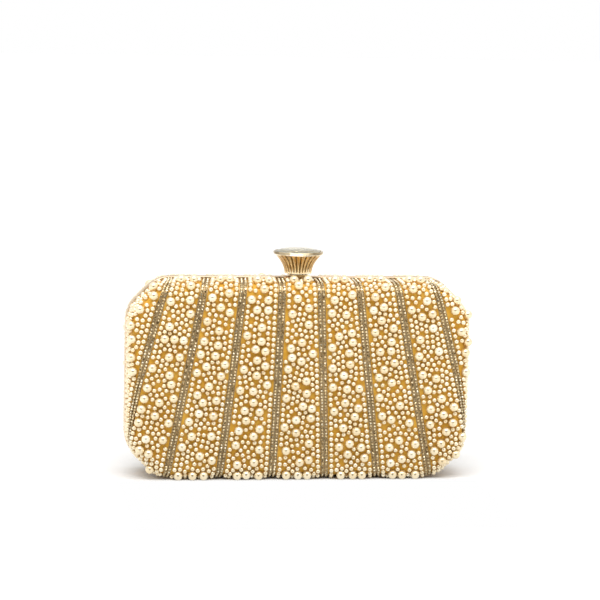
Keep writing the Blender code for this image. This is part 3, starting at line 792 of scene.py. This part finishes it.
def build_stone():
    """A round-cut stone in a four-claw cup: points, quads, their materials, points' facets."""
    verts, quads, mats, facet = [], [], [], []

    def put(points, number):
        verts.extend(points)
        facet.extend([number] * len(points))
        return len(verts) - len(points)

    def ring(radius, z, shift=0.0):
        turns = [2 * math.pi * (i + shift) / 8 for i in range(8)]
        return [(radius * math.cos(a), radius * math.sin(a), z) for a in turns]

    def face(quad, mat):
        quads.append(quad)
        mats.append(mat)

    cup = ((1.08, 0.0), (1.14, 0.75), (1.02, 0.85), (0.98, 0.55))
    rows = [put(ring(radius, z), CUP) for radius, z in cup]
    for a, b in zip(rows, rows[1:]):
        for i in range(8):
            j = (i + 1) % 8
            face((a + i, a + j, b + j, b + i), 1)
    for eighth in (0.5, 2.5, 4.5, 6.5):
        turn = 2 * math.pi * eighth / 8
        c, s = math.cos(turn), math.sin(turn)
        start = put([(reach * c - across * s, reach * s + across * c, z)
                     for reach, z in ((1.16, 0.5), (1.12, 1.12), (0.82, 1.18), (0.86, 1.02))
                     for across in (-0.13, 0.13)], CUP)
        for b in range(start, start + 6, 2):
            face((b, b + 1, b + 3, b + 2), 1)
    girdle, table = ring(1.0, 0.72, 0.5), ring(0.56, 1.22, 0.5)
    for i in range(8):
        j = (i + 1) % 8
        start = put([girdle[i], girdle[j], table[j], table[i]], i)
        face((start, start + 1, start + 2, start + 3), 0)
    start = put(table, 8)
    for i in range(3):
        face((start + i, start + i + 1, start + 6 - i, start + 7 - i), 0)
    return tuple(np.array(part) for part in (verts, quads, mats, facet))


def ribbon(place, low, high, side):
    """The metal mesh tape that a band's cups are fixed to, as a thin closed strip."""
    stations = np.linspace(low, high, 90)
    offsets = [(-RIBBON_HALF, -0.1), (0.0, -0.1), (RIBBON_HALF, -0.1),
               (RIBBON_HALF, 0.22), (0.0, 0.3), (-RIBBON_HALF, 0.22)]
    rows = [wrap(place * pitch_at(stations) + across, stations, FABRIC_LIFT + up, side)
            for across, up in offsets]
    verts = np.stack(rows, 1).reshape(-1, 3)
    verts[:, 2] = np.maximum(verts[:, 2], 0.35)
    count = len(offsets)
    ends = np.array([(0, 1, 4, 5), (1, 2, 3, 4)])
    ends = np.concatenate([ends, ends[:, ::-1] + len(verts) - count])
    quads = np.concatenate([grid_quads(len(stations), count), ends])
    return verts, quads if side > 0 else quads[:, ::-1]


def add_band(word, side, body, index, template, mats, seed):
    """Two rows of stones in cups along one band, from the frame over the edges of the cover."""
    place = index - MIDDLE
    verts, quads, mat_of, facet = template
    rng = np.random.default_rng(seed + index)
    stretch = math.hypot(1, place * BAND_FAN)
    spots = []
    for row in (-1, 1):
        v = HEIGHT - EDGE_RADIUS + WALL_LIMIT - 1.3
        while v > -14:
            spots.append((place * pitch_at(v) + row * STONE_ROW * stretch, v))
            v -= STONE_PITCH / stretch
    spots = np.array(spots)
    limit = WALL_LIMIT - 1.1
    low_limit = ARC * 0.9 if abs(place) < BAND_COUNT / 2 - 1 else limit
    past = past_face(spots[:, 0], spots[:, 1])
    spots = spots[past <= np.where(spots[:, 1] < HEIGHT / 2, low_limit, limit)]
    here, normal, along = surface_frame(spots[:, 0], spots[:, 1], FABRIC_LIFT, side)
    normal = unit(normal + rng.normal(0, 0.09, (len(spots), 3)))
    line = along + (place * -BAND_FAN) * np.cross(along, normal)
    centers = here + normal * 0.35
    centers[:, 2] = np.maximum(centers[:, 2], 1.0)
    stones, stone_quads = scatter(verts, quads, centers, axes_from(normal, line),
                                  np.full(len(spots), STONE_SCALE))
    # Painted glints: a random brightness for each facet of each stone, standing for its
    # reflections.
    painted_glints = np.clip(rng.beta(1.3, 1.5, (len(spots), 10)), 0, 1)
    tape, tape_quads = ribbon(place, spots[:, 1].min() - 0.9, spots[:, 1].max() + 0.9, side)
    obj = fast_mesh(f"{word}_rhinestones_{index + 1}", np.concatenate([stones, tape]),
                    np.concatenate([stone_quads, tape_quads + len(stones)]), mats, False,
                    np.concatenate([np.tile(mat_of, len(spots)), np.full(len(tape_quads), 2)]),
                    np.concatenate([painted_glints[:, facet].ravel(), np.full(len(tape), 0.5)]))
    attach(obj, body, "rhinestone", f"{word}_crystal_band_{index + 1}")


# ---------------------------------------------------------------- frames, knob and inside

def prism_cutter(ring, low_z, high_z):
    steps = len(ring)
    verts = [(a, b, z) for z in (low_z, high_z) for a, b in ring]
    faces = [tuple(range(steps))[::-1], tuple(range(steps, 2 * steps))]
    faces += [(i, (i + 1) % steps, (i + 1) % steps + steps, i + steps) for i in range(steps)]
    return new_object("cutter", verts, faces, [], False)


def box_cutter(low, high):
    (x0, y0, z0), (x1, y1, z1) = low, high
    return prism_cutter([(x0, y0), (x1, y0), (x1, y1), (x0, y1)], z0, z1)


def round_cutter(radius, low_z, high_z, x=0.0, y=0.0, steps=48):
    turn = 2 * np.pi * np.arange(steps) / steps
    ring = np.stack([x + radius * np.cos(turn), y + radius * np.sin(turn)], -1)
    return prism_cutter(ring, low_z, high_z)


def cut_with(obj, cutters):
    """Subtract solids for good, then drop them."""
    for cutter in cutters:
        mod = obj.modifiers.new("cut", "BOOLEAN")
        mod.operation = "DIFFERENCE"
        mod.solver = "EXACT"
        mod.object = cutter
    bpy.context.view_layer.update()
    graph = bpy.context.evaluated_depsgraph_get()
    mesh = bpy.data.meshes.new_from_object(obj.evaluated_get(graph))
    obj.modifiers.clear()
    obj.data = mesh
    for cutter in cutters:
        bpy.data.objects.remove(cutter)


def add_frame(word, side, body, mat):
    """A mouth frame with a rounded bead, as the CAD ring but with smooth curves."""
    groove, flange = LINING_DEPTH + 0.3, LINING_DEPTH + 1.3
    profile = [(0.9, 0.15), (0.35, 0.22), (0.08, 0.5), (-0.05, 1.0), (-0.08, 1.6), (-0.05, 2.2),
               (0.08, 2.7), (0.35, 2.95), (0.8, 3.0), (groove, 3.0), (groove, 7.85),
               (LINING_DEPTH + 0.45, 8.0), (flange - 0.15, 8.0), (flange, 7.85), (flange, 0.4),
               (flange - 0.25, 0.15)]
    rows = []
    for inset, y in profile:
        line = octagon(CORNER_RADIUS - inset, 12) + (0, HEIGHT / 2)
        line = line * (1 - TAPER * max(y - ROOT_Y, 0))
        rows.append(np.stack([line[:, 0], np.full(len(line), side * y), line[:, 1]], -1))
    verts = np.concatenate(rows)
    quads = grid_quads(len(rows) + 1, len(rows[0])) % len(verts)
    if side > 0:
        quads = quads[:, ::-1]
    obj = new_object(f"{word}_mouth_frame", verts, quads.tolist(), [mat])
    leaf_low, leaf_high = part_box("hinge_leaf_rear_right")
    cutters = [box_cutter((-100, -9, -5), (100, 9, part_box("front_frame")[0].z / MM))]
    for sign in (-1, 1):
        x0, x1 = sorted((sign * leaf_low.x / MM, sign * leaf_high.x / MM))
        cutters.append(box_cutter((x0 - 0.3, -2.1, 0.0), (x1 + 0.3, 2.1, 7.5)))
    cutters.append(round_cutter(3.4, 100.0, 120.0))
    screw = "keeper_screw" if side < 0 else "bracket_screw"
    for number in (1, 2):
        low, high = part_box(f"{screw}_{number}")
        mid = (low + high) / 2
        cutters.append(round_cutter(1.1, 100.0, 111.0, mid.x / MM, mid.y / MM, 16))
    cut_with(obj, cutters)
    obj.data.set_sharp_from_angle(angle=math.radians(32))
    attach(obj, body, "frame_gold", f"{word}_frame")


def add_knob(gold, crystal, foil):
    """Fluted flaring body, polished rim and a large faceted stone over a foil."""
    base, seat = KNOB_LOW.z / MM, STONE_LOW.z / MM - 0.3
    rim = KNOB_HIGH.x / MM
    rows = [(0.0, seat), (SEAT_RADIUS, seat), (SEAT_RADIUS, 127.5), (13.0, 127.6),
            (rim - 0.35, 127.6), (rim - 0.1, 127.5), (rim, 127.3), (rim - 0.05, FLARE_TOP)]
    first = len(rows)
    for k in range(1, KNOB_ROWS + 1):
        t = 1 - k / KNOB_ROWS
        rows.append((NECK_OUTSIDE + (rim - 0.45 - NECK_OUTSIDE) * t ** FLARE_POWER,
                     base + (FLARE_TOP - base) * t))
    rows += [(7.3, base), (6.2, base), (6.2, 120.6), (2.2, 120.6), (2.2, 124.9), (0.0, 124.9)]

    def flute(k, turn):
        if not first <= k < first + KNOB_ROWS:
            return np.zeros_like(turn)
        t = 1 - (k - first + 1) / KNOB_ROWS
        depth = FLUTE_DEPTH * min(1.0, (1 - t) * 5) * min(1.0, t * 8 + 0.75)
        return -depth * (1 - np.abs(np.sin(turn * KNOB_FLUTES / 2))) ** 1.2

    turn = 2 * np.pi * np.arange(KNOB_STEPS) / KNOB_STEPS
    # Painted shade: groove is 1 in each flute's bottom, and on the first DARK_ROWS flared rows it
    # darkens the colour there.
    groove = (1 - np.abs(np.sin(turn * KNOB_FLUTES / 2))) ** 2
    tone_and_painted_light = [groove * (first <= k < first + DARK_ROWS) for k in range(len(rows))]
    body = lathe("fluted_knob_body", rows, KNOB_STEPS, gold, 40, flute, np.concatenate(tone_and_painted_light))
    attach(body, "knob", "knob_gold", "knob_body")

    low = BEZEL_LOW.z / MM
    top = low + 0.8
    ring = [(SEAT_RADIUS, low - 0.25), (rim - 0.8, low - 0.25), (rim - 0.8, low + 0.12),
            (rim - 0.1, low + 0.15), (rim, low + 0.25), (rim - 0.12, low + 0.55),
            (rim - 0.4, top - 0.05), (rim - 0.7, top), (rim - 1.1, top - 0.02),
            (13.0, top - 0.15), (SEAT_RADIUS, top - 0.3), (SEAT_RADIUS, low - 0.25)]
    bezel = lathe("knob_rim", ring, 128, gold, 50, tone_and_painted_light=np.full(len(ring) * 128, 0.3))
    attach(bezel, "knob", "knob_gold", "knob_bezel")

    add_knob_stone(crystal)
    backing = [(0.0, seat + 0.12), (12.5, seat + 0.12), (12.5, seat + 0.2), (0.0, seat + 0.2)]
    attach(lathe("knob_stone_foil", backing, 96, foil, 30), "knob", "knob_gold")


def add_knob_stone(crystal):
    """A low round-cut stone: table, rows of crown facets, girdle and a shallow base."""
    low, high = STONE_LOW.z / MM + 0.05, STONE_HIGH.z / MM
    radius = STONE_HIGH.x / MM
    sides = 16
    levels = [(radius * 0.93, low, 0.0), (radius, low + 0.9, 0.0), (radius, low + 1.5, 0.0),
              (radius * 0.84, high - 0.75, 0.5), (radius * 0.58, high - 0.35, 0.0),
              (radius * 0.28, high - 0.1, 0.5)]
    verts = [(0.0, 0.0, low)]
    starts = []
    for reach, z, shift in levels:
        starts.append(len(verts))
        for i in range(sides):
            a = 2 * math.pi * (i + shift) / sides
            uneven = 0.07 * (i * 7 % 3 - 1) if z > low + 1.6 else 0.0
            verts.append((reach * math.cos(a), reach * math.sin(a), z + uneven))
    verts.append((0.0, 0.0, high))
    nexts = [(i, (i + 1) % sides) for i in range(sides)]
    faces = [(0, starts[0] + j, starts[0] + i) for i, j in nexts]
    for n, (a, b) in enumerate(zip(starts, starts[1:])):
        for i, j in nexts:
            if levels[n][2] == levels[n + 1][2]:
                faces.append((a + i, a + j, b + j, b + i))
            elif levels[n + 1][2] > 0:
                faces += [(a + i, a + j, b + i), (b + i, a + j, b + j)]
            else:
                faces += [(a + i, b + j, b + i), (a + i, a + j, b + j)]
    faces += [(starts[-1] + i, starts[-1] + j, len(verts) - 1) for i, j in nexts]
    stone = new_object("knob_crystal", verts, faces, [crystal], False)
    attach(stone, "knob", "clear_stone", "knob_stone")


def add_lining(word, side, body, mat):
    """Satin lining, drawn slightly into soft folds at the corners."""
    steps = 360
    rings = dish_rings(steps, 10, 8, 26)
    uv = np.concatenate(rings)
    here, normal, _ = surface_frame(uv[:, 0], uv[:, 1], 0.1 - LINING_DEPTH, side)
    past = past_face(uv[:, 0], uv[:, 1])
    around = np.arctan2(uv[:, 1] - HEIGHT / 2, uv[:, 0] * 0.6)
    near_corner = np.abs(np.sin(around * 2)) ** 3
    folds = np.sin(around * 46 + np.sin(around * 9) * 2) * near_corner * np.clip(past / 8, 0, 1)
    soft = np.sin(uv[:, 0] * 0.11 + 1.3) * np.sin(uv[:, 1] * 0.13 + side)
    soft *= np.clip(-past / 10, 0, 1)
    verts = here - normal * (0.16 + folds * 0.12 + soft * 0.25)[:, None]
    quads = grid_quads(len(rings), steps)
    obj = fast_mesh(f"{word}_satin_lining", verts, quads[:, ::-1] if side > 0 else quads, [mat])
    attach(obj, body, "satin", f"{word}_lining")


def add_pocket(mat, thread):
    """A flat slip pocket on the rear lining: a soft panel, a piped top edge and stitches."""
    low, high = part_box("slip_pocket")
    x_half = high.x / MM - 0.4
    z0, z1 = low.z / MM + 0.4, high.z / MM
    columns, rows = 90, 42
    gx, gz = np.meshgrid(np.linspace(-x_half, x_half, columns), np.linspace(z0, z1, rows))
    base = WALL_Y + EDGE_RADIUS - LINING_DEPTH - 0.62
    up = (gz - z0) / (z1 - z0)
    slack = (1 - (gx / x_half) ** 2) * up ** 2 * 0.9 + 0.12 * np.sin(gx * 0.35) * up
    grid = np.stack([gx, base + crown(gx, gz) - slack - 0.15, gz], -1)
    quads = grid_quads(rows, columns, False)
    panel = fast_mesh("pocket_panel", grid.reshape(-1, 3), quads, [mat])
    panel.modifiers.new("cloth", "SOLIDIFY").thickness = 0.0005
    attach(panel, "root", "satin", "slip_pocket")
    add_tube("pocket_piping", grid[-1], 0.55, 8, mat, "satin")
    add_stitches("pocket_stitches", [grid[1], grid[:, 2], grid[:, -3]], thread)


def add_tube(name, line, radius, sides, mat, slot_name, *nodes):
    """A round cord of cloth or wire along a line of points, on the rear half."""
    tangent = unit(np.gradient(line, axis=0))
    up = unit(np.cross(tangent, (0, 1, 0.01)))
    out = np.cross(tangent, up)
    turn = 2 * np.pi * np.arange(sides) / sides
    rings = line[:, None] + radius * (np.cos(turn)[None, :, None] * up[:, None] +
                                      np.sin(turn)[None, :, None] * out[:, None])
    verts = rings.reshape(-1, 3)
    ends = [tuple(range(sides))[::-1], tuple(range(len(verts) - sides, len(verts)))]
    obj = new_object(name, verts, grid_quads(len(line), sides).tolist() + ends, [mat])
    return attach(obj, "root", slot_name, *nodes)


def add_stitches(name, lines, mat):
    """Short raised thread stitches along lines, just proud of the cloth."""
    verts, quads, count = [], [], 0
    round_ball, faces = ball(8, 6)
    thread = round_ball * (0.16, 0.75, 0.14)
    for line in lines:
        stitches = int(np.linalg.norm(np.diff(line, axis=0), axis=1).sum() / 2.4)
        spots = resample(np.concatenate([line, line[-1:]]), stitches)[2:-2]
        out = np.tile(np.array([0.0, -1.0, 0.0]), (len(spots), 1))
        axes = axes_from(out, unit(np.gradient(spots, axis=0)))
        v, q = scatter(thread, faces, spots + out * 0.62, axes, np.ones(len(spots)))
        verts.append(v)
        quads.append(q + count)
        count += len(v)
    attach(fast_mesh(name, np.concatenate(verts), np.concatenate(quads), [mat]), "root", "satin")


def add_spring(mat):
    low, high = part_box("latch_spring")
    z0, z1 = low.z / MM + 0.35, high.z / MM - 0.35
    t = np.linspace(0, 1, 150)
    turn = t * 2 * math.pi * 3.5
    line = np.stack([3.7 * np.cos(turn), 3.7 * np.sin(turn), z0 + (z1 - z0) * t], -1)
    obj = add_tube("latch_return_spring", line, 0.34, 10, mat, "latch_steel", "latch_spring")
    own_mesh(obj)


# ---------------------------------------------------------------- stage, light and camera

def add_camera():
    look = Vector((math.sin(VIEW_YAW) * math.cos(VIEW_RISE),
                   math.cos(VIEW_YAW) * math.cos(VIEW_RISE), -math.sin(VIEW_RISE)))
    right = Vector((math.cos(VIEW_YAW), -math.sin(VIEW_YAW), 0))
    up = right.cross(look)
    right, up = (right * math.cos(VIEW_ROLL) + up * math.sin(VIEW_ROLL),
                 up * math.cos(VIEW_ROLL) - right * math.sin(VIEW_ROLL))
    data = bpy.data.cameras.new("photo_view")
    data.sensor_width = SENSOR_MM
    data.lens = PIXELS_PER_METRE * VIEW_DISTANCE * SENSOR_MM / PIXELS
    data.clip_start = 0.05
    camera = place_object("photo_view", data)
    rotation = Matrix((right, up, -look)).transposed().to_4x4()
    camera.matrix_world = Matrix.Translation(VIEW_AIM - look * VIEW_DISTANCE) @ rotation
    bpy.context.scene.camera = camera
    return look


def add_floor():
    half = FLOOR_HALF / MM
    corners = [(-half, -half, 0), (half, -half, 0), (half, half, 0), (-half, half, 0)]
    new_object("floor", corners, [(0, 1, 2, 3)], [floor_material()], False)


def add_world():
    """White all round to the camera and in reflections, and a little dimmer as light."""
    world = bpy.data.worlds.new("studio")
    world.use_nodes = True
    tree = world.node_tree
    back = tree.nodes["Background"]
    path = add(tree, "ShaderNodeLightPath")
    seen = mix_values(tree, path.outputs["Is Camera Ray"], path.outputs["Is Glossy Ray"], "MAXIMUM")
    strength = add(tree, "ShaderNodeMapRange", **{"To Min": WORLD_LIGHT, "To Max": 1.0})
    tree.links.new(seen, strength.inputs["Value"])
    tree.links.new(strength.outputs["Result"], back.inputs["Strength"])
    back.inputs["Color"].default_value = (1.0, 1.0, 1.0, 1.0)
    bpy.context.scene.world = world
    bpy.context.scene.view_settings.view_transform = "Standard"


def add_lights():
    sky = bpy.data.lights.new("overhead_light", "SUN")
    sky.energy = 1.1
    sky.angle = math.radians(60)
    place_object("overhead_light", sky).rotation_euler = (math.radians(16), math.radians(7), 0)
    soft = bpy.data.lights.new("top_front_softbox", "AREA")
    soft.shape = "RECTANGLE"
    soft.size, soft.size_y = 1.3, 0.8
    soft.energy = 13
    box = place_object("top_front_softbox", soft)
    box.location = (-0.25, -0.8, 1.3)
    toward = Vector((0, 0, 0.06)) - Vector((-0.25, -0.8, 1.3))
    box.rotation_euler = toward.to_track_quat("-Z", "Y").to_euler()


def add_dark_side(look):
    """The unlit side of the studio behind the camera, seen only in reflections."""
    dark = nodes_of("camera_side_dark", Base_Color=(0.02, 0.018, 0.015, 1), Roughness=1.0)[0]
    turn = 2 * np.pi * np.arange(40) / 40
    ring = np.stack([DARK_WIDTH * DARK_RADIUS * np.cos(turn), DARK_RADIUS * np.sin(turn),
                     np.zeros(40)], -1) / MM
    disc = new_object("dark_camera_side", ring, [tuple(range(40))], [dark], False)
    place = VIEW_AIM - look * (VIEW_DISTANCE + 0.35) + Vector((0, 0, 0.6))
    rotation = look.to_track_quat("Z", "Y").to_matrix().to_4x4()
    disc.matrix_world = Matrix.Translation(place) @ rotation
    disc.visible_camera = False
    disc.visible_shadow = False
    disc.visible_diffuse = False


# ---------------------------------------------------------------- everything together

def finish_cad_nodes(mats):
    """Better materials on the CAD nodes that stay."""
    # Painted shade: the guide bush takes the darker cup gold so the gap under the knob looks
    # shaded.
    chosen = {"front_shell": "board", "rear_shell": "board", "guide_bush": "cup"}
    for name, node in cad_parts.items():
        if node.hide_render:
            continue
        kind = chosen.get(name, "gold" if name.startswith("hinge_leaf") else "steel")
        node.data.materials.clear()
        node.data.materials.append(mats[kind])
        node.data.set_sharp_from_angle(angle=math.radians(35))


def main():
    metal = metal_material
    mats = {
        "pearl": pearl_material(),
        "fabric": cover_fabric_material(),
        "stone": stone_material(),
        "cup": metal("cup_gold", (0.42, 0.30, 0.14), (0.68, 0.50, 0.26), (0.2, 0.4)),
        "tape": metal("band_mesh_tape", (0.38, 0.28, 0.15), (0.58, 0.45, 0.27), (0.4, 0.6), 900.0),
        "gold": metal("frame_rose_gold", (0.60, 0.43, 0.26), (0.84, 0.66, 0.46), (0.14, 0.3)),
        "knob": knob_material(),
        "steel": metal("latch_steel", (0.45, 0.43, 0.40), (0.68, 0.66, 0.62), (0.22, 0.4)),
        "crystal": crystal_material(),
        "foil": foil_material(),
        "satin": lining_material(),
        "board": board_material(),
    }
    band_mats = [mats["stone"], mats["cup"], mats["tape"]]
    stone = build_stone()
    for word, side, body, seed in (("front", -1, "front_half", 11), ("rear", 1, "root", 23)):
        add_pearls(word, side, body, seed, mats["pearl"])
        add_cover_fabric(word, side, body, mats["fabric"])
        for index in range(BAND_COUNT):
            add_band(word, side, body, index, stone, band_mats, seed * 100)
        add_frame(word, side, body, mats["gold"])
        add_lining(word, side, body, mats["satin"])
    add_knob(mats["knob"], mats["crystal"], mats["foil"])
    add_spring(mats["steel"])
    add_pocket(mats["satin"], mats["fabric"])
    finish_cad_nodes(mats)
    look = add_camera()
    add_floor()
    add_world()
    add_lights()
    add_dark_side(look)


main()
